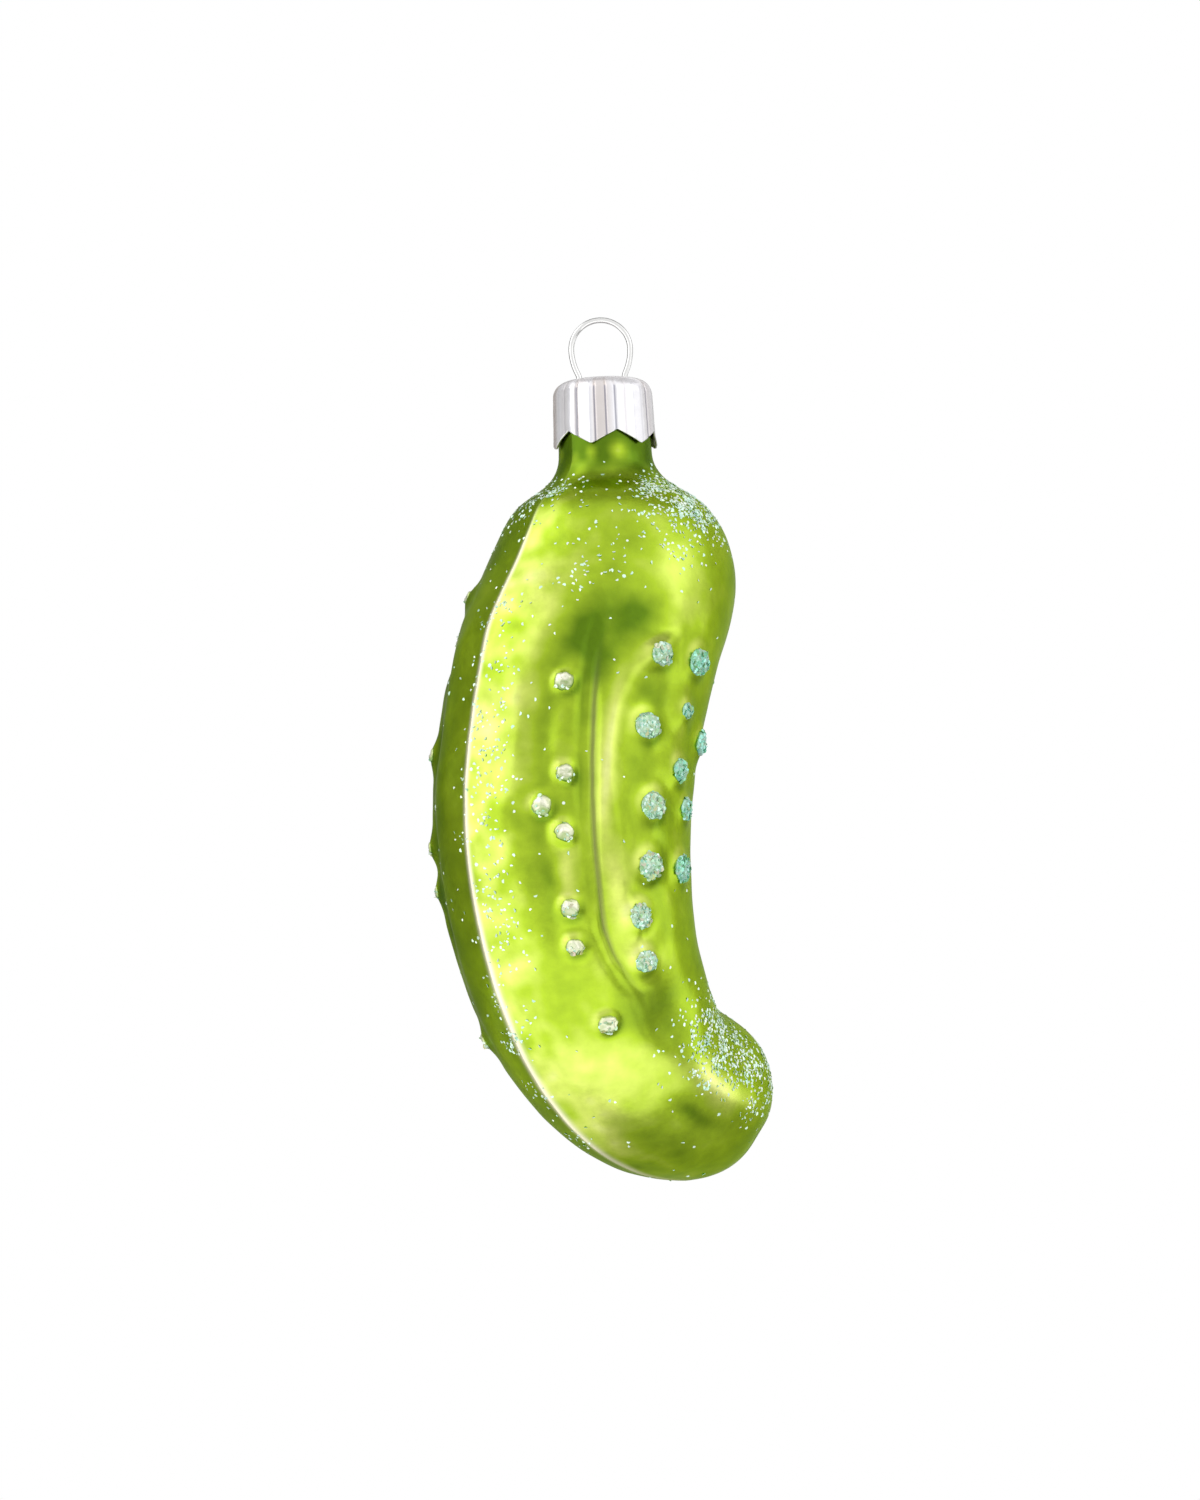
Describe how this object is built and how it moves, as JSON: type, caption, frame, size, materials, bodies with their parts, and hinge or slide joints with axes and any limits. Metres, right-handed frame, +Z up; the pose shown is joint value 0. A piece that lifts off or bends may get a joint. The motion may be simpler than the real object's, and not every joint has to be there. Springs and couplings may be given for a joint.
{
  "type": "pickle ornament",
  "caption": "Hollow blown glass pickle with a crown cap and a sprung wire loop, hung from a hook as a tree ornament.",
  "frame": {"origin": "inside top of the hanging loop, where a hook bears", "axes": "+Z up along the neck, X across the loop's width, +Y through the loop, away from the front"},
  "size_m": [0.0389, 0.0394, 0.1006],
  "materials": {
    "lacquered_glass": "silvered inside, satin candy-green lacquer outside",
    "cap_metal": "bright stamped sheet",
    "hanger_wire": "bright spring wire",
    "glitter": "iridescent flakes in clear glue"
  },
  "bodies": {
    "hanger": {"wire_hanger": "hanger_wire"},
    "cap": {"crown_cap": "cap_metal"},
    "pickle": {"glass_body": "lacquered_glass", "glitter_dab_back_inner_1": "glitter", "glitter_dab_back_inner_2": "glitter", "glitter_dab_back_inner_3": "glitter", "glitter_dab_back_inner_4": "glitter", "glitter_dab_back_inner_5": "glitter", "glitter_dab_back_middle_1": "glitter", "glitter_dab_back_middle_2": "glitter", "glitter_dab_back_middle_3": "glitter", "glitter_dab_back_middle_4": "glitter", "glitter_dab_back_middle_5": "glitter", "glitter_dab_back_middle_6": "glitter", "glitter_dab_back_outer_1": "glitter", "glitter_dab_back_outer_2": "glitter", "glitter_dab_back_outer_3": "glitter", "glitter_dab_back_outer_4": "glitter", "glitter_dab_back_outer_5": "glitter", "glitter_dab_back_outer_6": "glitter", "glitter_dab_front_inner_1": "glitter", "glitter_dab_front_inner_2": "glitter", "glitter_dab_front_inner_3": "glitter", "glitter_dab_front_inner_4": "glitter", "glitter_dab_front_inner_5": "glitter", "glitter_dab_front_inner_6": "glitter", "glitter_dab_front_middle_1": "glitter", "glitter_dab_front_middle_2": "glitter", "glitter_dab_front_middle_3": "glitter", "glitter_dab_front_middle_4": "glitter", "glitter_dab_front_middle_5": "glitter", "glitter_dab_front_middle_6": "glitter", "glitter_dab_front_outer_1": "glitter", "glitter_dab_front_outer_2": "glitter", "glitter_dab_front_outer_3": "glitter", "glitter_dab_front_outer_4": "glitter", "glitter_dab_front_outer_5": "glitter", "glitter_dab_front_outer_6": "glitter", "glitter_dab_front_outer_7": "glitter"}
  },
  "joints": [
    {"name": "cap_rock", "type": "hinge", "parent": "hanger", "child": "cap", "pos_m": [0, 0, -0.00699], "axis": [1, 0, 0], "range_deg": [-8, 8]},
    {"name": "glass_pull", "type": "slide", "parent": "cap", "child": "pickle", "axis": [0, 0, -1], "range_m": [0, 0.02]}
  ]
}
